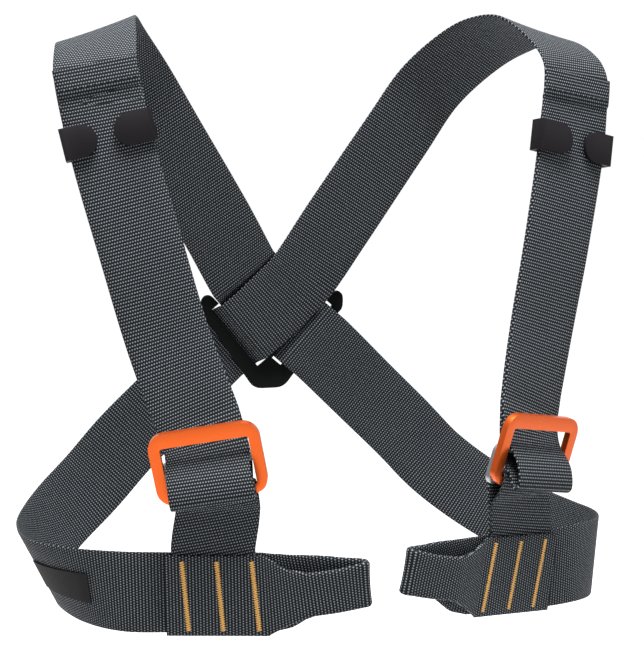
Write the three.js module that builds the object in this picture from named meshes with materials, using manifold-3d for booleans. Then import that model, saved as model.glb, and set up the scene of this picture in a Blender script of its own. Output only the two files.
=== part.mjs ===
// Climbing chest harness. Millimetres, +Z up. The wearer faces -Y, so the wearer's left is +X.
// The origin is midway between the tops of the two shoulder straps.
import * as THREE from 'three';
import Module from 'manifold-3d';
import { mergeVertices } from 'three/addons/utils/BufferGeometryUtils.js';

const wasm = await Module();
wasm.setup();

// Webbing
const webWidth = 45;
const webThick = 1.6;
const clearance = 0.3;
const layer = webThick + clearance;

// The chest that the harness is shaped for: half its breadth, half its depth, and the height
// from the shoulder tops down to the middle of the front stacks
const halfBreadth = 165;
const halfDepth = 100;
const dropHeight = 300;

// Front stack of sewn webbing, with its tie-in loop
const stackLength = 54;
const stackHeading = 20.5;
const stackPitch = -6;
const loopReach = 54;
const loopGap = 12;
const loopRise = 8;

// Free end of the webbing, folded back and sewn
const tailFold = 14;

// Fold of the webbing in the buckle: how far its face stands out of the buckle's seat, and its
// thickness between the middles of its two layers
const rollOut = 11.7;
const rollSpread = 4.9;

// Outer ring of the buckle
const ringWidth = 59.5;
const ringHeight = 40.4;
const ringOpening = 47.5;
const ringTopBar = 7.9;
const ringBottomBar = 5;
const ringThick = 4;
const ringCorner = 9;
const ringOpeningCorner = 1.5;
const ringTilt = 12;
const ringForward = 1;

// Inner ring of the buckle, hidden in the fold of the webbing
const innerWidth = 56.5;
const innerTopBar = 4.5;
const innerBottomBar = 4.5;
const innerTop = 2.5;
const innerThick = 3;
const innerCorner = 5;
const innerOpeningCorner = 1.5;

// Buckle seat: how far its face tips back and leans
const bucklePitch = 0;
const buckleLean = 9.5;

// How much of the turn from the stack to the buckle the riser makes inside the stack, as a share,
// and how far below the bars its two layers come together
const riserTurn = 0.35;
const riserLead = 7;

// Moulded keeper on the front strap
const keeperHeight = 17.5;
const keeperWall = 1.8;
const keeperTabThick = 2.4;
const keeperNeckTab = 22;
const keeperArmTab = 19;
const keeperSideGap = 0.8;
const keeperSlack = 0.8;

// Moulded slider on the back
const sliderHalfAcross = 44.5;
const sliderBelow = 51;
const sliderAbove = 27;
const sliderThick = 2.5;
const sliderTilt = 9;
const slotNear = 21.5;
const slotFar = 29.5;
const slotLength = 47.5;
const sliderBar = 7;
const upperArm = 42;
const lowerArm = 50;
const sliderEdge = 20.5;
const sliderRounding = 2.5;

// Woven patch on the chest band
const labelWidth = 17;
const labelThick = 0.8;

// Sampling of the webbing along its route
const routeStep = 8;

const degrees = Math.PI / 180;

// Where the buckle, the stack and the slider sit, as shares of the chest's sizes
const buckleSeatShares = { across: 0.558, depth: -0.9, height: -0.767 };
const stackSeatShares = { across: 0.515, depth: -0.8, height: -1 };
const sliderSeatShares = { across: 0, depth: 0.97, height: -0.56 };

// Front strap from just above the buckle to the free end. Shares of halfBreadth, halfDepth and
// dropHeight, then the turn of the face and the dip of its arm side in degrees
const frontRoute = [
  { across: 0.64, depth: -0.655, height: -0.56, heading: 20, dip: 11 },
  { across: 0.72, depth: -0.565, height: -0.39, heading: 17, dip: 11 },
  { across: 0.8, depth: -0.45, height: -0.205, heading: 14, dip: 11 },
  { across: 0.835, depth: -0.36, height: -0.08, heading: 12, dip: 12 },
];

// Over the shoulder
const shoulderRoute = [
  { across: 0.81, depth: -0.18, height: -0.032, heading: 5, dip: 15 },
  { across: 0.77, depth: 0.07, height: -0.008, heading: -2, dip: 18 },
  { across: 0.722, depth: 0.28, height: -0.018, heading: 3, dip: 23 },
  { across: 0.664, depth: 0.47, height: -0.045, heading: 9, dip: 27 },
];

// Down the back to the slider
const backRoute = [
  { across: 0.545, depth: 0.67, height: -0.12, heading: 9, dip: 28 },
  { across: 0.427, depth: 0.74, height: -0.22, heading: 7, dip: 31 },
  { across: 0.224, depth: 0.84, height: -0.394, heading: 3, dip: 34 },
];

// From the slider round under the other arm. The flare column says how much of the side's flare
// a row takes, as a share
const bandRoute = [
  { across: -0.388, depth: 1.07, height: -0.75, dip: 45, flare: 0 },
  { across: -0.533, depth: 1.09, height: -0.827, dip: 46, flare: 0 },
  { across: -0.66, depth: 1.07, height: -0.9, dip: 50, flare: 0 },
  { across: -0.8, depth: 0.95, height: -0.96, dip: 63, flare: 0.2 },
  { across: -0.91, depth: 0.68, height: -0.995, dip: 76, flare: 0.5 },
  { across: -0.965, depth: 0.3, height: -1.0, dip: 86, flare: 0.9 },
  { across: -0.975, depth: -0.05, height: -1.0, dip: 88, flare: 0.9 },
  { across: -0.905, depth: -0.38, height: -1.0, dip: 89, flare: 0.6 },
  { across: -0.79, depth: -0.59, height: -1.0, dip: 90, flare: 0.25 },
];
const labelFrom = 5.7;
const labelTo = 7.4;

// Tie-in loop, seen from above: shares of the reach beyond the stack, of the gap between its legs
// and of its rise, with the height of the folded webbing as a share of its flat width
const farLeg = [
  { reach: 0.18, gap: -0.3, rise: 0.1, width: 0.93 },
  { reach: 0.45, gap: -0.3, rise: 0.6, width: 0.72 },
  { reach: 0.75, gap: -0.12, rise: 0.88, width: 0.59 },
  { reach: 0.94, gap: -0.05, rise: 0.93, width: 0.56 },
];
const nearLeg = [
  { reach: 0.94, gap: 0.45, rise: 0.85, width: 0.56 },
  { reach: 0.75, gap: 0.6, rise: 0.6, width: 0.54 },
  { reach: 0.45, gap: 0.72, rise: 0.35, width: 0.54 },
  { reach: 0.2, gap: 0.5, rise: 0.1, width: 0.7 },
];
const loopFoldThick = 2;

// The two fronts differ a little: how far the buckle turns out and sits up, how far the keeper and
// the free end are moved along, and how far the stack's arm side hangs down
const fronts = {
  right: { side: -1, buckleHeading: 22, buckleLift: 3.2, keeperShift: 5, tailShift: 5, stackLean: 0.5 },
  left: { side: 1, buckleHeading: 27, buckleLift: 0, keeperShift: -4, tailShift: -4, stackLean: 4 },
};

// Each strap runs from one front to the other: whether it lies over at the slider, and how far the
// chest band under its end leans out, stands out and sags
const straps = {
  strap_left_shoulder: { from: fronts.left, to: fronts.right, over: true, flare: 27, bulge: 0, sag: 0 },
  strap_right_shoulder: { from: fronts.right, to: fronts.left, over: false, flare: 6, bulge: 3, sag: 6 },
};

function vec(x, y, z) {
  return new THREE.Vector3(x, y, z);
}

// A point on the chest from its shares
function bodyPoint(row) {
  return vec(row.across * halfBreadth, row.depth * halfDepth, row.height * dropHeight);
}

// Direction across the webbing, from its neck side to its arm side
function widthDirection(heading, dip) {
  const h = heading * degrees;
  const d = dip * degrees;
  return vec(Math.cos(h) * Math.cos(d), Math.sin(h) * Math.cos(d), -Math.sin(d));
}

// A local frame on the front: across points to the arm side, out to the viewer
function makeSeat(origin, heading, pitch, lean) {
  const h = heading * degrees;
  const p = pitch * degrees;
  const level = vec(Math.cos(h), Math.sin(h), 0);
  const facing = vec(Math.sin(h), -Math.cos(h), 0);
  const upright = vec(0, 0, Math.cos(p)).addScaledVector(facing, -Math.sin(p));
  const out = facing.clone().multiplyScalar(Math.cos(p)).add(vec(0, 0, Math.sin(p)));
  const l = lean * degrees;
  const up = upright.clone().multiplyScalar(Math.cos(l)).addScaledVector(level, Math.sin(l));
  const across = level.clone().multiplyScalar(Math.cos(l)).addScaledVector(upright, -Math.sin(l));
  return { origin, across, up, out };
}

function mirrorVector(v) {
  return vec(-v.x, v.y, v.z);
}

function mirrorSeat(seat) {
  return {
    origin: mirrorVector(seat.origin),
    across: mirrorVector(seat.across),
    up: mirrorVector(seat.up),
    out: mirrorVector(seat.out),
  };
}

function onSeat(seat, across, up, out) {
  return seat.origin.clone()
    .addScaledVector(seat.across, across)
    .addScaledVector(seat.up, up)
    .addScaledVector(seat.out, out);
}

function buckleSeat(front) {
  const origin = bodyPoint(buckleSeatShares);
  origin.z += front.buckleLift;
  return makeSeat(origin, front.buckleHeading, bucklePitch, buckleLean);
}

const stackSeat = (lean) => makeSeat(bodyPoint(stackSeatShares), stackHeading, stackPitch, lean);
const tiltCos = Math.cos(sliderTilt * degrees);
const tiltSin = Math.sin(sliderTilt * degrees);
const sliderSeat = {
  origin: bodyPoint(sliderSeatShares),
  across: vec(-1, 0, 0),
  up: vec(0, -tiltSin, tiltCos),
  out: vec(0, tiltCos, tiltSin),
};

function knot(p, w, width = webWidth, thick = webThick) {
  return { p, w, width, thick };
}

// Smooth route through knots, with the webbing's own frame at each station. An endless step gives
// one station a knot
function sampleRoute(knots, step = routeStep) {
  const curve = new THREE.CatmullRomCurve3(knots.map((k) => k.p), false, 'centripetal');
  const last = knots.length - 1;
  const stations = [];
  for (let i = 0; i < last; i += 1) {
    const a = knots[i];
    const b = knots[i + 1];
    const parts = Math.max(1, Math.round(a.p.distanceTo(b.p) / step));
    const count = i === last - 1 ? parts + 1 : parts;
    for (let j = 0; j < count; j += 1) {
      const f = j / parts;
      const at = i + f;
      stations.push({
        at,
        p: curve.getPoint(at / last),
        t: curve.getTangent(Math.min(at, last) / last),
        w: a.w.clone().lerp(b.w, f),
        width: THREE.MathUtils.lerp(a.width, b.width, f),
        thick: THREE.MathUtils.lerp(a.thick, b.thick, f),
      });
    }
  }
  for (const s of stations) {
    s.w.addScaledVector(s.t, -s.w.dot(s.t)).normalize();
    s.o = s.w.clone().cross(s.t);
  }
  return stations;
}

// One closed strip of webbing through its stations. Side -1 mirrors it to the wearer's right
function stripGeometry(stations, side) {
  const positions = [];
  const index = [];
  const corners = [[-1, -1], [1, -1], [1, 1], [-1, 1]];
  for (const s of stations) {
    for (const [a, b] of corners) {
      const c = s.p.clone()
        .addScaledVector(s.w, a * s.width / 2)
        .addScaledVector(s.o, b * s.thick / 2);
      positions.push(side * c.x, c.y, c.z);
    }
  }
  const quad = (a, b, c, d) => {
    if (side < 0) index.push(a, b, c, a, c, d);
    else index.push(a, c, b, a, d, c);
  };
  for (let i = 0; i < stations.length - 1; i += 1) {
    for (let k = 0; k < 4; k += 1) {
      const next = (k + 1) % 4;
      quad(4 * i + k, 4 * i + next, 4 * i + 4 + next, 4 * i + 4 + k);
    }
  }
  const end = 4 * (stations.length - 1);
  quad(3, 2, 1, 0);
  quad(end, end + 1, end + 2, end + 3);
  const geometry = new THREE.BufferGeometry();
  geometry.setAttribute('position', new THREE.Float32BufferAttribute(positions, 3));
  geometry.setIndex(index);
  return geometry;
}

function routeKnots(rows) {
  return rows.map((row) => knot(bodyPoint(row), widthDirection(row.heading, row.dip)));
}

// Half turn of the webbing from one layer to the next, in a seat's up and out directions
function halfTurn(seat, up, outFrom, outTo) {
  const radius = Math.abs(outTo - outFrom) / 2;
  const middle = (outTo + outFrom) / 2;
  const direction = Math.sign(outTo - outFrom);
  return [30, 60, 90, 120, 150].map((angle) => knot(
    onSeat(
      seat, 0,
      up - radius * Math.sin(angle * degrees),
      middle - direction * radius * Math.cos(angle * degrees),
    ),
    seat.across,
  ));
}

// Heights and depths of the metal in the buckle, measured in its seat
const ringTiltTan = Math.tan(ringTilt * degrees);
const ringFace = ringThick / 2 / Math.cos(ringTilt * degrees);
const innerFace = innerThick / 2 / Math.cos(ringTilt * degrees);
const ringPlane = (up) => ringForward + up * ringTiltTan;
const innerPlane = (up) => ringPlane(up) - ringFace - clearance - innerFace;
const touch = clearance + webThick / 2;
const ringTopInner = ringHeight / 2 - ringTopBar;
const ringBottomInner = -ringHeight / 2 + ringBottomBar;
const innerTopInner = innerTop - innerTopBar;
const innerBottomInner = -ringHeight / 2 + innerBottomBar;

// The fold of the webbing below the ring's top bar, and its turn at the bottom
const rollRear = rollOut - rollSpread;
const rollBottom = ringBottomInner - 3;

// Routes in the buckle. Heights are shares of half the ring's height and the way out is a share of
// rollOut, save where the webbing passes the inner ring's top bar. Above the ring the webbing
// moves towards the arm by a share of its way back
function buckleKnots(seat, rows) {
  return rows.map(([up, out, aside = 0]) => (
    knot(onSeat(seat, -out * aside, up, out), seat.across)
  ));
}

function tailInBuckle(seat) {
  const half = ringHeight / 2;
  return buckleKnots(seat, [
    [half, rollOut * -0.6, 0.3],
    [half * 0.62, rollOut * -0.36, 0.15],
    [half * 0.33, rollOut * -0.145],
    [innerTop + 0.2, innerPlane(innerTop) + innerFace + touch + 0.2],
    [half * -0.05, rollOut * 0.36],
    [half * -0.36, rollOut * 0.78],
    [half * -0.7, rollOut * 0.98],
    [rollBottom, rollOut],
  ]);
}

function loadInBuckle(seat) {
  const half = ringHeight / 2;
  const behindInner = (up) => innerPlane(up) - innerFace - touch;
  return buckleKnots(seat, [
    [rollBottom, rollRear],
    [half * -0.88, rollRear - 0.2],
    [half * -0.67, rollRear - 2.4],
    [half * -0.46, rollRear - 6.8],
    [innerTopInner - 3.6, behindInner(innerTopInner) + 1.7],
    [innerTopInner - 0.4, behindInner(innerTopInner) - 0.3],
    [innerTop + 0.2, behindInner(innerTop) - 0.15],
    [half * 0.44, rollOut * -0.56, 0.1],
    [half, rollOut * -0.78, 0.25],
  ]);
}

// The front strap's load layer alone, from the buckle to the free end's height
function loadFrontKnots(seat) {
  return [...loadInBuckle(seat).slice(-1), ...routeKnots(frontRoute)];
}

// The tail lies on the outer face of the load layer
function tailKnots(seat, tailShift) {
  const stations = sampleRoute(loadFrontKnots(seat), Infinity);
  const onLoad = (s, lift) => s.p.clone().addScaledVector(s.o, lift);
  const top = stations[stations.length - 1];
  top.p.addScaledVector(top.t, tailShift);
  const foldLift = layer + webThick / 2;
  const foldEnd = top.p.clone().addScaledVector(top.t, -tailFold);
  const knots = [
    knot(onLoad(top, foldLift), top.w, webWidth, 2 * webThick),
    knot(foldEnd.clone().addScaledVector(top.o, foldLift), top.w, webWidth, 2 * webThick),
    knot(foldEnd.addScaledVector(top.o, layer).addScaledVector(top.t, -webThick), top.w),
  ];
  for (const s of stations.slice(0, -1).reverse()) knots.push(knot(onLoad(s, layer), s.w));
  return knots;
}

// Through the slider: b runs along the strap from its middle. The over strap lies on the wearer's
// side and goes out through a slot, the under strap goes out round the plate's upper edge and
// comes back in through the other slot
function sliderKnots(over) {
  const lift = sliderThick / 2 + touch;
  const slotMiddle = (slotNear + slotFar) / 2;
  const edgeMiddle = sliderEdge + 4;
  const point = (b, out) => {
    const arm = (b < 0 ? upperArm : lowerArm) * degrees;
    const p = onSeat(sliderSeat, b * Math.sin(arm), -b * Math.cos(arm), out);
    const w = sliderSeat.across.clone().multiplyScalar(-Math.cos(arm))
      .addScaledVector(sliderSeat.up, -Math.sin(arm));
    return knot(p, w);
  };
  const crossing = (middle, from, to) => {
    const rows = [[-4.4, from], [-2.6, from * 0.88], [0, 0], [2.6, to * 0.88], [4.4, to]];
    return rows.map(([db, out]) => point(middle + db, out));
  };
  const inside = over ? -lift : lift;
  const entry = over ? [point(-edgeMiddle, -lift - layer / 2)] : crossing(-edgeMiddle, -lift, lift);
  const middle = [point(-slotNear / 2, inside), point(slotNear / 2, inside)];
  return [...entry, ...middle, ...crossing(slotMiddle, inside, -inside),
    point(slotFar + sliderBar + 3, -inside)];
}

// A row with more of the flare also takes more of the side's bulge and sag
function bandKnots({ flare, bulge, sag }) {
  return bandRoute.map((row) => {
    const p = bodyPoint(row);
    p.x -= bulge * row.flare;
    p.z -= sag * row.flare;
    return knot(p, widthDirection(0, row.dip - flare * row.flare));
  });
}

// The strap's end: rear of the stack, round the tie-in loop, and back as the cover
function stackKnots(lean) {
  const seat = mirrorSeat(stackSeat(lean));
  const down = seat.up.clone().negate();
  const half = stackLength / 2;
  const onStack = (along, layers) => knot(onSeat(seat, along, 0, layers * layer), down);
  const foldThick = (width) => webThick * THREE.MathUtils.lerp(loopFoldThick, 1, (width - 0.5) * 2);
  const onLoop = (row) => knot(
    onSeat(seat, -half - row.reach * loopReach, row.rise * loopRise, row.gap * loopGap),
    down, webWidth * row.width, foldThick(row.width),
  );
  const farEnd = farLeg[farLeg.length - 1];
  const nearEnd = nearLeg[0];
  const turnRadius = (nearEnd.gap - farEnd.gap) / 2;
  const turn = [30, 60, 90, 120, 150].map((angle) => {
    const share = angle / 180;
    return onLoop({
      reach: farEnd.reach + turnRadius * loopGap / loopReach * Math.sin(angle * degrees),
      gap: (nearEnd.gap + farEnd.gap) / 2 - turnRadius * Math.cos(angle * degrees),
      rise: THREE.MathUtils.lerp(farEnd.rise, nearEnd.rise, share),
      width: farEnd.width,
    });
  });
  return [
    onStack(half, -1.5), onStack(0, -1.5), onStack(-half * 0.9, -1.5), onStack(-half, -1.5),
    ...farLeg.map(onLoop), ...turn, ...nearLeg.map(onLoop),
    onStack(-half, 1.5), onStack(-half * 0.9, 1.5), onStack(0, 1.5), onStack(half, 1.5),
  ];
}

function strapStations(strap) {
  const seat = buckleSeat(strap.from);
  const start = [
    ...tailKnots(seat, strap.from.tailShift), ...tailInBuckle(seat),
    ...halfTurn(seat, rollBottom, rollOut, rollRear), ...loadInBuckle(seat),
    ...routeKnots(frontRoute), ...routeKnots(shoulderRoute), ...routeKnots(backRoute),
    ...sliderKnots(strap.over),
  ];
  const end = stackKnots(strap.to.stackLean);
  const stations = sampleRoute([...start, ...bandKnots(strap), ...end]);
  return { stations, bandStart: start.length };
}

// Doubled webbing from the stack, over the bottom bars of both rings and back down. The bars are
// followed in the tipped seat of the rings: the corners of the pair, each rounded by the webbing
function riserStations(front) {
  const seat = stackSeat(THREE.MathUtils.lerp(front.stackLean, buckleLean, riserTurn));
  const bottom = -webWidth / 2 + 3;
  const top = webWidth / 2 + 3;
  const onStack = (up, layers) => knot(onSeat(seat, 0, up, layers * layer), seat.across);
  const buckle = buckleSeat(front);
  const rings = tippedSeat(buckle, ringForward);
  const inner = tippedSeat(buckle, innerPlane(0)).origin.sub(rings.origin);
  const innerRise = inner.dot(rings.up);
  const rear = inner.dot(rings.out) - innerThick / 2;
  const face = ringThick / 2;
  const bend = touch + 0.2;
  const around = (up, out, angles) => angles.map((angle) => knot(
    onSeat(rings, 0, up + bend * Math.sin(angle * degrees), out - bend * Math.cos(angle * degrees)),
    rings.across,
  ));
  const low = -ringHeight / 2;
  const middle = (face + rear) / 2;
  const half = layer / 2;
  const onBars = (up, out) => knot(onSeat(rings, 0, up, out), rings.across);
  return sampleRoute([
    onStack(bottom, -0.5), onStack(0, -0.5), onStack(webWidth / 2, -0.5), onStack(top, -0.5),
    onBars(low - riserLead, middle - half - 0.5),
    onBars(low - riserLead / 2, rear - touch + 1),
    ...around(low + innerRise + 0.6, rear, [0]),
    ...around(innerBottomInner + innerRise, rear, [0, 30, 60]),
    ...around(ringBottomInner, -face, [75, 90]),
    ...around(ringBottomInner, face, [90, 120, 150, 180]),
    ...around(low + 0.6, face, [180]),
    onBars(low - riserLead / 2, face + touch - 1),
    onBars(low - riserLead, middle + half + 0.5),
    onStack(top, 0.5), onStack(webWidth / 2, 0.5), onStack(0, 0.5), onStack(bottom, 0.5),
  ]);
}

function roundedOutline(target, width, bottom, top, corner) {
  const x = width / 2;
  target.moveTo(-x + corner, bottom);
  target.lineTo(x - corner, bottom);
  target.absarc(x - corner, bottom + corner, corner, -Math.PI / 2, 0);
  target.lineTo(x, top - corner);
  target.absarc(x - corner, top - corner, corner, 0, Math.PI / 2);
  target.lineTo(-x + corner, top);
  target.absarc(-x + corner, top - corner, corner, Math.PI / 2, Math.PI);
  target.lineTo(-x, bottom + corner);
  target.absarc(-x + corner, bottom + corner, corner, Math.PI, Math.PI * 1.5);
  return target;
}

// Puts a shape drawn in a seat's across, up and out directions in its place
function placeOnSeat(geometry, seat, side) {
  const matrix = new THREE.Matrix4().makeBasis(seat.across, seat.up, seat.out).setPosition(seat.origin);
  geometry.applyMatrix4(matrix);
  if (side > 0) return geometry;
  const position = geometry.getAttribute('position');
  for (let i = 0; i < position.count; i += 1) position.setX(i, -position.getX(i));
  const index = geometry.index ? Array.from(geometry.index.array) : [...Array(position.count).keys()];
  for (let i = 0; i < index.length; i += 3) [index[i], index[i + 1]] = [index[i + 1], index[i]];
  geometry.setIndex(index);
  return geometry;
}

function ringGeometry(width, bottom, top, opening, openingBottom, openingTop, corner, openingCorner, thick) {
  const shape = roundedOutline(new THREE.Shape(), width, bottom, top, corner);
  shape.holes.push(roundedOutline(new THREE.Path(), opening, openingBottom, openingTop, openingCorner));
  const geometry = new THREE.ExtrudeGeometry(shape, { depth: thick, bevelEnabled: false, curveSegments: 5 });
  return geometry.translate(0, 0, -thick / 2);
}

// Both rings lie tipped in the buckle's seat, the inner one behind the outer
function tippedSeat(seat, forward) {
  const tip = ringTilt * degrees;
  const { origin, across, up, out } = seat;
  return {
    origin: origin.clone().addScaledVector(out, forward),
    across,
    up: up.clone().multiplyScalar(Math.cos(tip)).addScaledVector(out, Math.sin(tip)),
    out: out.clone().multiplyScalar(Math.cos(tip)).addScaledVector(up, -Math.sin(tip)),
  };
}

function outerRing(front) {
  const half = ringHeight / 2;
  const geometry = ringGeometry(
    ringWidth, -half, half, ringOpening, ringBottomInner, ringTopInner,
    ringCorner, ringOpeningCorner, ringThick,
  );
  return placeOnSeat(geometry, tippedSeat(buckleSeat(front), ringForward), front.side);
}

function innerRing(front) {
  const geometry = ringGeometry(
    innerWidth, -ringHeight / 2, innerTop, ringOpening, innerBottomInner, innerTopInner,
    innerCorner, innerOpeningCorner, innerThick,
  );
  return placeOnSeat(geometry, tippedSeat(buckleSeat(front), innerPlane(0)), front.side);
}

function toManifold(geometry) {
  const plain = geometry.clone();
  plain.deleteAttribute('normal');
  plain.deleteAttribute('uv');
  const merged = mergeVertices(plain, 1e-4);
  return new wasm.Manifold(new wasm.Mesh({
    numProp: 3,
    vertProperties: new Float32Array(merged.getAttribute('position').array),
    triVerts: new Uint32Array(merged.index.array),
  }));
}

function fromManifold(solid) {
  const mesh = solid.getMesh();
  const geometry = new THREE.BufferGeometry();
  geometry.setAttribute('position', new THREE.BufferAttribute(new Float32Array(mesh.vertProperties), 3));
  geometry.setIndex(new THREE.BufferAttribute(new Uint32Array(mesh.triVerts), 1));
  return geometry;
}

function box(x0, x1, y0, y1, z0, z1) {
  const geometry = new THREE.BoxGeometry(x1 - x0, y1 - y0, z1 - z0);
  return geometry.translate((x0 + x1) / 2, (y0 + y1) / 2, (z0 + z1) / 2);
}

// A D-shaped tab: flat at the keeper's side wall, round at its inner end
function keeperTab(direction, length, outer, lift) {
  const half = keeperHeight / 2;
  const corner = 2;
  const shape = new THREE.Shape();
  shape.moveTo(0, -half + corner);
  shape.absarc(corner, -half + corner, corner, Math.PI, Math.PI * 1.5);
  shape.lineTo(length - half, -half);
  shape.absarc(length - half, 0, half, -Math.PI / 2, Math.PI / 2);
  shape.lineTo(corner, half);
  shape.absarc(corner, half - corner, corner, Math.PI / 2, Math.PI);
  const geometry = new THREE.ExtrudeGeometry(shape, { depth: keeperTabThick, bevelEnabled: false, curveSegments: 8 });
  geometry.translate(-outer, 0, lift);
  if (direction > 0) geometry.rotateY(Math.PI).translate(0, 0, 2 * lift + keeperTabThick);
  return geometry;
}

// The keeper wraps both layers of the front strap
function keeper(front) {
  const inner = webWidth / 2 + keeperSideGap;
  const outer = inner + keeperWall;
  const rearFace = -touch - keeperSlack;
  const frontFace = layer + touch + keeperSlack;
  const half = keeperHeight / 2;
  const pieces = [
    box(-outer, outer, -half, half, rearFace - keeperWall, rearFace),
    box(-outer, -inner, -half, half, rearFace - keeperWall, frontFace + keeperTabThick),
    box(inner, outer, -half, half, rearFace - keeperWall, frontFace + keeperTabThick),
    keeperTab(-1, keeperNeckTab, outer, frontFace),
    keeperTab(1, keeperArmTab, outer, frontFace),
  ];
  const solid = pieces.map(toManifold).reduce((a, b) => a.add(b));
  const stations = sampleRoute(loadFrontKnots(buckleSeat(front)), Infinity);
  const s = stations[stations.length - 2];
  const seat = {
    origin: s.p.clone().addScaledVector(s.t, front.keeperShift),
    across: s.w,
    up: s.t,
    out: s.o,
  };
  return placeOnSeat(fromManifold(solid), seat, front.side);
}

// Outline with every corner rounded
function roundedPolygon(points, radius) {
  const shape = new THREE.Shape();
  points.forEach((p, i) => {
    const before = points[(i + points.length - 1) % points.length];
    const after = points[(i + 1) % points.length];
    const reach = (q) => Math.min(radius, p.distanceTo(q) * 0.45);
    const start = p.clone().add(before.clone().sub(p).setLength(reach(before)));
    const end = p.clone().add(after.clone().sub(p).setLength(reach(after)));
    if (i === 0) shape.moveTo(start.x, start.y);
    else shape.lineTo(start.x, start.y);
    shape.quadraticCurveTo(p.x, p.y, end.x, end.y);
  });
  shape.closePath();
  return shape;
}

// Right half of the slider's outline, from its top round to its foot: shares of its half breadth,
// and of its height above or below its middle
const sliderOutline = [
  { across: 0, above: 1 },
  { across: 0.69, above: 0 },
  { across: 0.85, above: 0.3 },
  { across: 0.94, above: 0.31 },
  { across: 1, above: 0.2 },
  { across: 1, below: 0.055 },
  { across: 0.93, below: 0.11 },
  { across: 0.21, below: 1 },
];

// Cross slider: a plate with an ear each side, a foot, and a slot above each edge of the foot
function backSlider() {
  const half = sliderOutline.map((row) => new THREE.Vector2(
    row.across * sliderHalfAcross,
    row.below === undefined ? row.above * sliderAbove : -row.below * sliderBelow,
  ));
  const other = half.slice(1).reverse().map((p) => new THREE.Vector2(-p.x, p.y));
  const outline = [...half, ...other].reverse();
  const plate = new THREE.ExtrudeGeometry(
    roundedPolygon(outline, sliderRounding * 2),
    { depth: sliderThick, bevelEnabled: false, curveSegments: 4 },
  );
  plate.translate(0, 0, -sliderThick / 2);
  let solid = toManifold(plate);
  for (const direction of [1, -1]) {
    const slot = box(-slotLength / 2, slotLength / 2, slotNear, slotFar, -sliderThick, sliderThick);
    slot.rotateZ(direction * (Math.PI - lowerArm * degrees));
    solid = solid.subtract(toManifold(slot));
  }
  return placeOnSeat(fromManifold(solid), sliderSeat, 1);
}

function labelPatch(stations, bandStart, side) {
  const lift = webThick / 2 + clearance + labelThick / 2;
  const chosen = stations.filter((s) => s.at >= bandStart + labelFrom && s.at <= bandStart + labelTo);
  const patch = chosen.map((s) => ({
    ...s,
    p: s.p.clone().addScaledVector(s.o, lift),
    width: labelWidth,
    thick: labelThick,
  }));
  return stripGeometry(patch, side);
}

const webbing = new THREE.MeshStandardMaterial({ color: '#3b4041', roughness: 0.92, metalness: 0 });
const orangeMetal = new THREE.MeshStandardMaterial({ color: '#d4562a', roughness: 0.38, metalness: 0.85 });
const greyMetal = new THREE.MeshStandardMaterial({ color: '#83868a', roughness: 0.35, metalness: 1 });
const mouldedBlack = new THREE.MeshStandardMaterial({ color: '#242126', roughness: 0.55, metalness: 0 });
const sliderBlack = new THREE.MeshStandardMaterial({ color: '#1c1c1e', roughness: 0.45, metalness: 0 });
const patchBlack = new THREE.MeshStandardMaterial({ color: '#141416', roughness: 0.85, metalness: 0 });

const harness = new THREE.Group();

function addPiece(name, geometry, material) {
  const mesh = new THREE.Mesh(geometry, material);
  mesh.name = name;
  harness.add(mesh);
}

for (const [name, strap] of Object.entries(straps)) {
  const { stations, bandStart } = strapStations(strap);
  addPiece(name, stripGeometry(stations, strap.from.side), webbing.clone());
  if (strap.over) addPiece('label_patch', labelPatch(stations, bandStart, strap.from.side), patchBlack);
}

for (const [name, front] of Object.entries(fronts)) {
  addPiece(`riser_${name}`, stripGeometry(riserStations(front), front.side), webbing.clone());
  addPiece(`buckle_ring_${name}`, outerRing(front), orangeMetal.clone());
  addPiece(`buckle_bar_${name}`, innerRing(front), greyMetal.clone());
  addPiece(`keeper_${name}`, keeper(front), mouldedBlack.clone());
}

addPiece('back_slider', backSlider(), sliderBlack);

export default harness;
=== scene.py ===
import math

import bpy
import bmesh
from mathutils import Vector, Matrix


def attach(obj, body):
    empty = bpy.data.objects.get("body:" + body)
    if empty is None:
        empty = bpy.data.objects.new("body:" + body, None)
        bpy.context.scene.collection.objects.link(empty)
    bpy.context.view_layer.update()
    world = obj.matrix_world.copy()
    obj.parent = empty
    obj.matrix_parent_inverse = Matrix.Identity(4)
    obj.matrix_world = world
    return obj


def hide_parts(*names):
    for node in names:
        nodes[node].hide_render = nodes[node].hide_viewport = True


# Climbing chest harness: 45 mm webbing, two ring buckles, two keepers, one cross slider.
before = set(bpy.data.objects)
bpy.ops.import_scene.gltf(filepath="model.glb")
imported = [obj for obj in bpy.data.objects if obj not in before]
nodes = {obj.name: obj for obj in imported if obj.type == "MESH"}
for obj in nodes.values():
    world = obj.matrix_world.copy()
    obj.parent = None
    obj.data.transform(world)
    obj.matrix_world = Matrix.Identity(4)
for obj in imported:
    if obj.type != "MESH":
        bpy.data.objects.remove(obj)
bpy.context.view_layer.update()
mm = 0.001
print("frame loaded:", len(nodes), "nodes")


# Colour and node helpers

def linear(hexColour):
    values = [int(hexColour[i:i + 2], 16) / 255 for i in (1, 3, 5)]
    return [v / 12.92 if v <= 0.04045 else ((v + 0.055) / 1.055) ** 2.4 for v in values] + [1.0]


def addNode(tree, kind, settings=None, inputs=None):
    node = tree.nodes.new(kind)
    for key, value in (settings or {}).items():
        setattr(node, key, value)
    for key, value in (inputs or {}).items():
        if isinstance(value, bpy.types.NodeSocket):
            tree.links.new(value, node.inputs[key])
        else:
            node.inputs[key].default_value = value
    return node


def newMaterial(name):
    material = bpy.data.materials.new(name)
    material.use_nodes = True
    material.node_tree.nodes.clear()
    return material, material.node_tree


def finishMaterial(tree, shader):
    addNode(tree, "ShaderNodeOutputMaterial", None, {"Surface": shader.outputs[0]})


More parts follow.
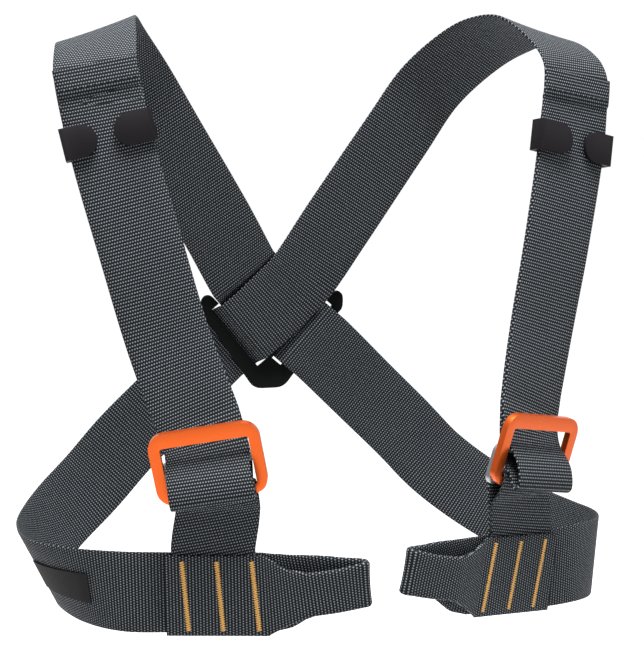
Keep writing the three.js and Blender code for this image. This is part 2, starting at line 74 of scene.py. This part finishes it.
# Polyester webbing, coarse plain weave: matt, light thread crowns over painted shade in the hollows
# between them.
weave = {
    "acrossPitch": 1.45, "alongPitch": 1.75,   # mm from crown to crown
    # the colour between the crowns is painted shade, standing for the shade in the hollows of the
    # weave
    "gap": "#030405", "crown": "#575c61", "roughness": 0.8,
    "crownAcross": 0.4, "crownAlong": 0.31,    # half a crown, as shares of the pitches
    "crownEdge": (0.05, 0.95),                 # where a crown starts to darken, and where it ends
    "fleckScale": 0.45, "fleckDarkest": 0.8,
    "gloss": 0.1, "bump": 0.7, "relief": 0.5,
}


def webbingMaterial():
    material, tree = newMaterial("polyester webbing, plain woven")
    uv = addNode(tree, "ShaderNodeUVMap", {"uv_map": "webbingMm"})
    parts = addNode(tree, "ShaderNodeSeparateXYZ", None, {0: uv.outputs[0]})

    def calc(operation, *values):
        inputs = dict(enumerate(values))
        return addNode(tree, "ShaderNodeMath", {"operation": operation}, inputs).outputs[0]

    row = calc("MULTIPLY", parts.outputs[1], 1 / weave["alongPitch"])
    rowNumber = calc("FLOOR", row)
    shift = calc("MULTIPLY", calc("MODULO", rowNumber, 2.0), 0.5)
    column = calc("ADD", calc("MULTIPLY", parts.outputs[0], 1 / weave["acrossPitch"]), shift)
    acrossPlace = calc("SUBTRACT", calc("FRACT", column), 0.5)
    alongPlace = calc("SUBTRACT", calc("FRACT", row), 0.5)
    across = calc("POWER", calc("ABSOLUTE", calc("DIVIDE", acrossPlace, weave["crownAcross"])), 2.0)
    along = calc("POWER", calc("ABSOLUTE", calc("DIVIDE", alongPlace, weave["crownAlong"])), 2.0)
    distance = calc("ADD", across, along)
    crown = addNode(
        tree, "ShaderNodeMapRange", {"interpolation_type": "SMOOTHSTEP"},
        {"Value": distance, "From Min": weave["crownEdge"][0], "From Max": weave["crownEdge"][1],
         "To Min": 1.0, "To Max": 0.0},
    )
    fleck = addNode(
        tree, "ShaderNodeTexNoise", None,
        {"Vector": uv.outputs[0], "Scale": weave["fleckScale"], "Detail": 2.0},
    )
    light = addNode(
        tree, "ShaderNodeMapRange", None,
        {"Value": fleck.outputs[0], "From Min": 0.3, "From Max": 0.7,
         "To Min": weave["fleckDarkest"], "To Max": 1.0},
    )
    amount = calc("MULTIPLY", crown.outputs[0], light.outputs[0])
    # crowns take the thread colour; the hollows between them take painted shade
    colour = addNode(
        tree, "ShaderNodeMix", {"data_type": "RGBA"},
        {"Factor": amount, 6: linear(weave["gap"]), 7: linear(weave["crown"])},
    )
    bump = addNode(
        tree, "ShaderNodeBump", None,
        {"Strength": weave["bump"], "Distance": weave["relief"] * mm, "Height": crown.outputs[0]},
    )
    shader = addNode(
        tree, "ShaderNodeBsdfPrincipled", None,
        {"Base Color": colour.outputs[2], "Roughness": weave["roughness"],
         "Specular IOR Level": weave["gloss"], "Normal": bump.outputs[0]},
    )
    finishMaterial(tree, shader)
    return material


# Depth of a fine moulded or woven grain, in mm
grainRelief = 0.3


# One even colour. A grain, where there is one, has its size in mm and its strength
def plainMaterial(name, colour, roughness, metallic=0.0, grain=None, gloss=0.5):
    material, tree = newMaterial(name)
    inputs = {"Base Color": linear(colour), "Roughness": roughness, "Metallic": metallic,
              "Specular IOR Level": gloss}
    if grain:
        place = addNode(tree, "ShaderNodeTexCoord")
        noise = addNode(
            tree, "ShaderNodeTexNoise", None,
            {"Vector": place.outputs["Object"], "Scale": 1 / (grain["size"] * mm), "Detail": 3.0},
        )
        bump = addNode(
            tree, "ShaderNodeBump", None,
            {"Strength": grain["strength"], "Distance": grainRelief * mm, "Height": noise.outputs[0]},
        )
        inputs["Normal"] = bump.outputs[0]
    shader = addNode(tree, "ShaderNodeBsdfPrincipled", None, inputs)
    finishMaterial(tree, shader)
    return material


webbing = webbingMaterial()
# Anodised aluminium, tumbled then dyed: soft wide highlights, colour in the reflections
anodised = plainMaterial(
    "anodised aluminium, dyed orange", "#983e10", 0.36, 0.8,
    {"size": 0.8, "strength": 0.05}, 0.3,
)
# Aluminium, tumbled and left plain: nearly hidden in the fold of the webbing
tumbled = plainMaterial("aluminium, tumbled", "#77797c", 0.4, 1.0)
# Acetal, moulded in a spark-eroded tool: fine matt grain, slightly warm black
acetal = plainMaterial(
    "acetal, moulded matt", "#0b090c", 0.5, 0.0,
    {"size": 0.6, "strength": 0.12}, 0.05,
)
# Nylon, moulded in a smooth tool: satin black
nylon = plainMaterial(
    "nylon, moulded satin", "#040505", 0.35, 0.0,
    {"size": 0.9, "strength": 0.08}, 0.02,
)
# Fine damask label cloth: matt black, threads too fine to show
labelCloth = plainMaterial(
    "polyester label, damask woven", "#0b0b0c", 0.8, 0.0,
    {"size": 0.7, "strength": 0.25}, 0.1,
)
# Bonded thread, twisted and dyed amber: nearly matt
amberThread = plainMaterial("bonded polyester thread, amber", "#8a6422", 0.6)
# The same thread in black, for the hems
darkThread = plainMaterial("bonded polyester thread, black", "#0a0b0c", 0.7, gloss=0.1)
print("materials made")


# Edges that turn less than these angles, in degrees, are shaded smooth
smoothBelow = {"hardware": 35, "webbing": 50, "thread": 80}


def addPiece(name, bm, material, replaced=(), sharpAngle=smoothBelow["hardware"]):
    mesh = bpy.data.meshes.new(name)
    bm.to_mesh(mesh)
    bm.free()
    mesh.materials.append(material)
    for polygon in mesh.polygons:
        polygon.use_smooth = True
    mesh.set_sharp_from_angle(angle=math.radians(sharpAngle))
    piece = bpy.data.objects.new(name, mesh)
    bpy.context.scene.collection.objects.link(piece)
    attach(piece, "root")
    if replaced:
        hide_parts(*replaced)
    return piece


# Corners of a solid closer than this, in mm, are one corner
weldDistance = 0.002


def mergedCopy(nodeName):
    bm = bmesh.new()
    bm.from_mesh(nodes[nodeName].data)
    bmesh.ops.remove_doubles(bm, verts=bm.verts, dist=weldDistance * mm)
    return bm


# Moulded and tumbled pieces keep their solid, with its edges rounded: each radius in mm and the
# steps round it. Angles are in degrees
softening = {"flatBelow": 3, "edgeAbove": 30}
rounding = {
    "ring": {"edge": 1.3, "steps": 4},
    "bar": {"edge": 0.6, "steps": 2},
    "keeper": {"edge": 0.5, "steps": 2},
    "slider": {"edge": 0.6, "steps": 2},
    "label": {"edge": 0.15, "steps": 1},
}


def softened(nodeName, pieceName, material, rounded):
    bm = mergedCopy(nodeName)
    flat = math.radians(softening["flatBelow"])
    bmesh.ops.dissolve_limit(bm, angle_limit=flat, verts=bm.verts, edges=bm.edges)
    corners = [e for e in bm.edges if len(e.link_faces) == 2
               and e.calc_face_angle(0) > math.radians(softening["edgeAbove"])]
    bmesh.ops.bevel(
        bm, geom=corners, offset=rounded["edge"] * mm, offset_type="OFFSET", segments=rounded["steps"],
        profile=0.5, affect="EDGES", clamp_overlap=True, material=-1,
    )
    bmesh.ops.triangulate(bm, faces=[f for f in bm.faces if len(f.verts) > 4])
    bmesh.ops.recalc_face_normals(bm, faces=bm.faces)
    return addPiece(pieceName, bm, material, (nodeName,))


# The webbing's route, followed along its solid from end to end as rings of four corners

def traceRoute(nodeName):
    bm = mergedCopy(nodeName)
    near = {v: {e.other_vert(v) for e in v.link_edges} for v in bm.verts}
    caps = []
    for edge in bm.edges:
        if len(edge.link_faces) != 2:
            continue
        ring = {v for f in edge.link_faces for v in f.verts}
        beyond = set().union(*(near[v] for v in ring)) - ring
        if len(ring) == 4 and len(beyond) == 4:
            caps.append((ring, beyond, edge))
    # the free end of a strap is its highest, so a route starts there
    ring, following, diagonal = max(caps, key=lambda cap: max(v.co.z for v in cap[0]))
    first = diagonal.verts[0]
    sides = [v for v in ring if v not in diagonal.verts]
    ordered = [first, sides[0], diagonal.verts[1], sides[1]]
    stations = [[v.co.copy() for v in ordered]]
    done = set(ring)
    while following:
        candidates = list(following)
        best = None
        for start in candidates:
            # match each corner of the last ring with the nearest order of the next
            for order in orders(candidates, start):
                reach = sum((a.co - b.co).length for a, b in zip(ordered, order))
                if best is None or reach < best[0]:
                    best = (reach, order)
        ordered = best[1]
        stations.append([v.co.copy() for v in ordered])
        done |= set(ordered)
        following = set().union(*(near[v] for v in ordered)) - done
        if following and len(following) != 4:
            raise RuntimeError(f"{nodeName}: {len(following)} corners after {len(stations)} rings")
    bm.free()
    return stations


def orders(candidates, start):
    rest = [v for v in candidates if v is not start]
    return [
        [start, rest[a], rest[b], rest[c]]
        for a, b, c in ((0, 1, 2), (0, 2, 1), (1, 0, 2), (1, 2, 0), (2, 0, 1), (2, 1, 0))
    ]


# Middle, width and thickness of the webbing at each ring
def routeFrames(nodeName):
    frames = []
    for corners in traceRoute(nodeName):
        a, b, c, d = corners
        if (b - a).length < (d - a).length:
            a, b, c, d = b, c, d, a
        middle = (a + b + c + d) / 4
        width = ((b - a) + (c - d)) / 2
        thick = ((d - a) + (c - b)) / 2
        if frames:
            if width.dot(frames[-1][1]) < 0:
                width = -width
            if thick.dot(frames[-1][2]) < 0:
                thick = -thick
        frames.append((middle, width, thick))
    return frames


# Sizes in mm, steps as counts and the rest as shares. The webbing counts as folded together from
# foldedShare of its flat width down, and fully so foldedRange below that
strapShape = {
    "flatWidth": 45.0, "step": 2.5, "easing": 6, "unevenSpacing": 3,
    "edgeSteps": 3, "flatSteps": 6, "rolledEdge": 0.3, "rolledMiddle": 0.6,
    "foldedShare": 0.8, "foldedRange": 10, "patternStart": 100.0,
}


def spline(a, b, c, d, f):
    return 0.5 * (2 * b + (c - a) * f + (2 * a - 5 * b + 4 * c - d) * f * f
                  + (3 * b - a - 3 * c + d) * f ** 3)


# More rings along the route, on a smooth curve where their spacing is even
def refined(frames, step):
    points = []
    last = len(frames) - 1
    for i in range(last):
        before = frames[max(0, i - 1)]
        after = frames[min(last, i + 2)]
        here, there = frames[i], frames[i + 1]
        span = (there[0] - here[0]).length
        uneven = strapShape["unevenSpacing"] * span
        smooth = (here[0] - before[0]).length < uneven and (after[0] - there[0]).length < uneven
        parts = max(1, round(span / (step * mm)))
        for j in range(parts + (1 if i == last - 1 else 0)):
            f = j / parts
            if smooth:
                middle = spline(before[0], here[0], there[0], after[0], f)
            else:
                middle = here[0].lerp(there[0], f)
            points.append((middle, here[1].lerp(there[1], f), here[2].lerp(there[2], f)))
    return points


# The webbing turns about its own line gently: its width direction is the mean of its neighbours
def eased(points, reach):
    result = []
    for i, (middle, width, thick) in enumerate(points):
        near = points[max(0, i - reach):i + reach + 1]
        turned = sum((p[1].normalized() for p in near), Vector((0, 0, 0))).normalized()
        ahead = points[min(len(points) - 1, i + 1)][0] - points[max(0, i - 1)][0]
        out = ahead.cross(turned).normalized() * thick.length
        if out.dot(thick) < 0:
            out = -out
        result.append((middle, turned * width.length, out))
    return result


# Section of the webbing: round selvedges, and thicker rolled edges where it is folded together
def sectionOffsets(width, thick):
    half, radius = width / 2, thick / 2
    limit = strapShape["flatWidth"] * mm * strapShape["foldedShare"]
    folded = max(0.0, min(1.0, (limit - width) / (strapShape["foldedRange"] * mm)))
    flat = strapShape["flatSteps"]
    rolled = strapShape["rolledEdge"] * folded
    edgeLift = 1 + rolled * (1 - strapShape["rolledMiddle"])
    offsets = []
    for side in (1, -1):
        for k in range(flat + 1):
            share = -1 + 2 * k / flat
            lift = 1 + rolled * (share ** 2 - strapShape["rolledMiddle"])
            offsets.append((side * share * (half - radius), -side * radius * lift))
        for k in range(1, strapShape["edgeSteps"] + 1):
            angle = math.pi * k / (strapShape["edgeSteps"] + 1)
            offsets.append((
                side * (half - radius + radius * math.sin(angle)),
                -side * radius * edgeLift * math.cos(angle),
            ))
    return offsets


# With ownLengths each line along the webbing is measured by itself, so the weave stays square
# where a short piece is turned
def webbingPiece(nodeName, pieceName, ownLengths=False):
    points = eased(refined(routeFrames(nodeName), strapShape["step"]), strapShape["easing"])
    bm = bmesh.new()
    layer = bm.loops.layers.uv.new("webbingMm")
    rings, places = [], {}
    previous = None
    for middle, width, thick in points:
        w, o = width.normalized(), thick.normalized()
        spots = sectionOffsets(width.length, thick.length)
        ring = [bm.verts.new(middle + w * across + o * out) for across, out in spots]
        for k, vert in enumerate(ring):
            along = 0.0
            if rings:
                before = rings[-1][k]
                step = vert.co - before.co if ownLengths else middle - previous
                along = places[before][1] + step.length / mm
            places[vert] = (spots[k][0] / mm + strapShape["patternStart"], along)
        rings.append(ring)
        previous = middle
    for here, there in zip(rings, rings[1:]):
        count = len(here)
        for k in range(count):
            bm.faces.new((here[k], here[(k + 1) % count], there[(k + 1) % count], there[k]))
    bm.faces.new(rings[0])
    bm.faces.new(rings[-1])
    bmesh.ops.recalc_face_normals(bm, faces=bm.faces)
    for face in bm.faces:
        for loop in face.loops:
            loop[layer].uv = places[loop.vert]
    addPiece(pieceName, bm, webbing, (nodeName,), smoothBelow["webbing"])
    return points


strapRoutes = {
    name: webbingPiece(name, f"{name}_webbing")
    for name in ("strap_left_shoulder", "strap_right_shoulder")
}
for side in ("right", "left"):
    webbingPiece(f"riser_{side}", f"riser_{side}_webbing", True)
print("webbing made")

for side in ("right", "left"):
    softened(f"buckle_ring_{side}", f"outer_ring_{side}", anodised, rounding["ring"])
    softened(f"buckle_bar_{side}", f"inner_ring_{side}", tumbled, rounding["bar"])
    softened(f"keeper_{side}", f"moulded_keeper_{side}", acetal, rounding["keeper"])
softened("back_slider", "cross_slider", nylon, rounding["slider"])
softened("label_patch", "bare_label", labelCloth, rounding["label"])
print("hardware made")


# Stitching, laid on the outer face of the webbing by its distance from an end

def surfaceAt(points, distance, fromEnd):
    route = points[::-1] if fromEnd else points
    gone = 0.0
    for here, there in zip(route, route[1:]):
        span = (there[0] - here[0]).length
        if gone + span >= distance * mm:
            middle = here[0].lerp(there[0], (distance * mm - gone) / span)
            w, o = here[1].normalized(), here[2].normalized()
            if o.dot(Vector((middle.x, middle.y, 0))) < 0:
                o = -o
            t = (there[0] - here[0]).normalized()
            return middle, w, o, t, here[2].length / 2
        gone += span
    raise RuntimeError("the route is too short")


def addStitch(bm, place, direction, out, length, radius):
    sideways = direction.cross(out).normalized()
    turn = Matrix((
        (direction.x, sideways.x, out.x, place.x),
        (direction.y, sideways.y, out.y, place.y),
        (direction.z, sideways.z, out.z, place.z),
        (0, 0, 0, 1),
    ))
    grow = Matrix.Diagonal((length / 2, radius, radius, 1))
    bmesh.ops.create_icosphere(bm, subdivisions=1, radius=1.0, matrix=turn @ grow)


# Amber bar tacks down the cover: mm, with the slant of a stitch and the lean of a tack as shares
barTack = {
    "places": (10.5, 29.0, 48.0), "height": 38.0, "pitch": 0.62, "width": 3.4, "thread": 0.42,
    "lift": 0.12, "slant": 0.22, "lean": 0.075,
}


def barTacks(points, pieceName):
    bm = bmesh.new()
    for distance in barTack["places"]:
        middle, w, o, t, lift = surfaceAt(points, distance, True)
        if w.z > 0:
            w = -w
        # each tack leans towards the loop at its foot
        line = w + t * barTack["lean"]
        count = int(barTack["height"] / barTack["pitch"])
        for k in range(count):
            across = (k / (count - 1) - 0.5) * barTack["height"] * mm
            slant = barTack["slant"] if k % 2 else -barTack["slant"]
            direction = (t + w * slant).normalized()
            place = middle + line * across + o * (lift + barTack["lift"] * mm)
            addStitch(bm, place, direction, o, barTack["width"] * mm, barTack["thread"] * mm)
    addPiece(pieceName, bm, amberThread, (), smoothBelow["thread"])


# Dark hems, sewn across the webbing near its free end and near the end of the cover: mm
seam = {
    "stitch": 2.6, "pitch": 3.4, "thread": 0.3, "lift": 0.05, "margin": 2.5,
    "fromFreeEnd": 11.5, "fromCoverEnd": 2.0,
}


def seamLine(points, distance, fromEnd, bm):
    middle, w, o, t, lift = surfaceAt(points, distance, fromEnd)
    width = strapShape["flatWidth"] - 2 * seam["margin"]
    count = int(width / seam["pitch"])
    for k in range(count + 1):
        across = (k / count - 0.5) * width * mm
        place = middle + w * across + o * (lift + seam["lift"] * mm)
        addStitch(bm, place, w, o, seam["stitch"] * mm, seam["thread"] * mm)


for name, points in strapRoutes.items():
    stackSide = "right" if name == "strap_left_shoulder" else "left"
    barTacks(points, f"bar_tacks_{stackSide}")
    bm = bmesh.new()
    seamLine(points, seam["fromFreeEnd"], False, bm)
    seamLine(points, seam["fromCoverEnd"], True, bm)
    addPiece(f"{name}_seams", bm, darkThread, (), smoothBelow["thread"])
print("stitching made")


# Studio: pale floor well below the harness, soft light, camera at the photograph's angle

studio = {
    "floorDrop": 0.9, "floorSize": 30.0, "worldStrength": 1.05,
    "aim": (0.0, 0.0, -0.168), "azimuth": -18.0, "elevation": 7.0, "distance": 1.5,
    "lens": 147.0, "sensor": 36,
}
softBoxes = {
    "top soft box": {"place": (-0.1, -0.35, 1.5), "size": 0.9, "power": 190},
    "front soft box": {"place": (-1.3, -1.6, 0.9), "size": 1.0, "power": 14},
    "side soft box": {"place": (1.7, -0.9, 0.5), "size": 0.8, "power": 14},
}


def softBox(name, box):
    data = bpy.data.lights.new(name, "AREA")
    data.size = box["size"]
    data.energy = box["power"]
    lamp = bpy.data.objects.new(name, data)
    lamp.location = box["place"]
    towards = Vector(studio["aim"]) - Vector(box["place"])
    lamp.rotation_euler = towards.to_track_quat("-Z", "Y").to_euler()
    bpy.context.scene.collection.objects.link(lamp)


for name, box in softBoxes.items():
    softBox(name, box)

# Floor, white enough to meet the white background without a line
floorMesh = bpy.data.meshes.new("floor")
floorBm = bmesh.new()
bmesh.ops.create_grid(floorBm, x_segments=1, y_segments=1, size=studio["floorSize"] / 2)
floorBm.to_mesh(floorMesh)
floorBm.free()
floorMesh.transform(Matrix.Translation((0, 0, -studio["floorDrop"])))
floorMesh.materials.append(plainMaterial("painted studio floor, matt white", "#fbfbfb", 0.9))
floor = bpy.data.objects.new("floor", floorMesh)
bpy.context.scene.collection.objects.link(floor)

world = bpy.data.worlds.new("studio")
world.use_nodes = True
background = world.node_tree.nodes["Background"]
background.inputs[0].default_value = (1, 1, 1, 1)
background.inputs[1].default_value = studio["worldStrength"]
bpy.context.scene.world = world
bpy.context.scene.view_settings.view_transform = "Standard"

azimuth, elevation = math.radians(studio["azimuth"]), math.radians(studio["elevation"])
toCamera = Vector((
    math.sin(azimuth) * math.cos(elevation),
    -math.cos(azimuth) * math.cos(elevation),
    math.sin(elevation),
))
cameraData = bpy.data.cameras.new("photo camera")
cameraData.lens = studio["lens"]
cameraData.sensor_width = studio["sensor"]
camera = bpy.data.objects.new("photo camera", cameraData)
camera.location = Vector(studio["aim"]) + toCamera * studio["distance"]
camera.rotation_euler = (-toCamera).to_track_quat("-Z", "Y").to_euler()
bpy.context.scene.collection.objects.link(camera)
bpy.context.scene.camera = camera
print("studio made")
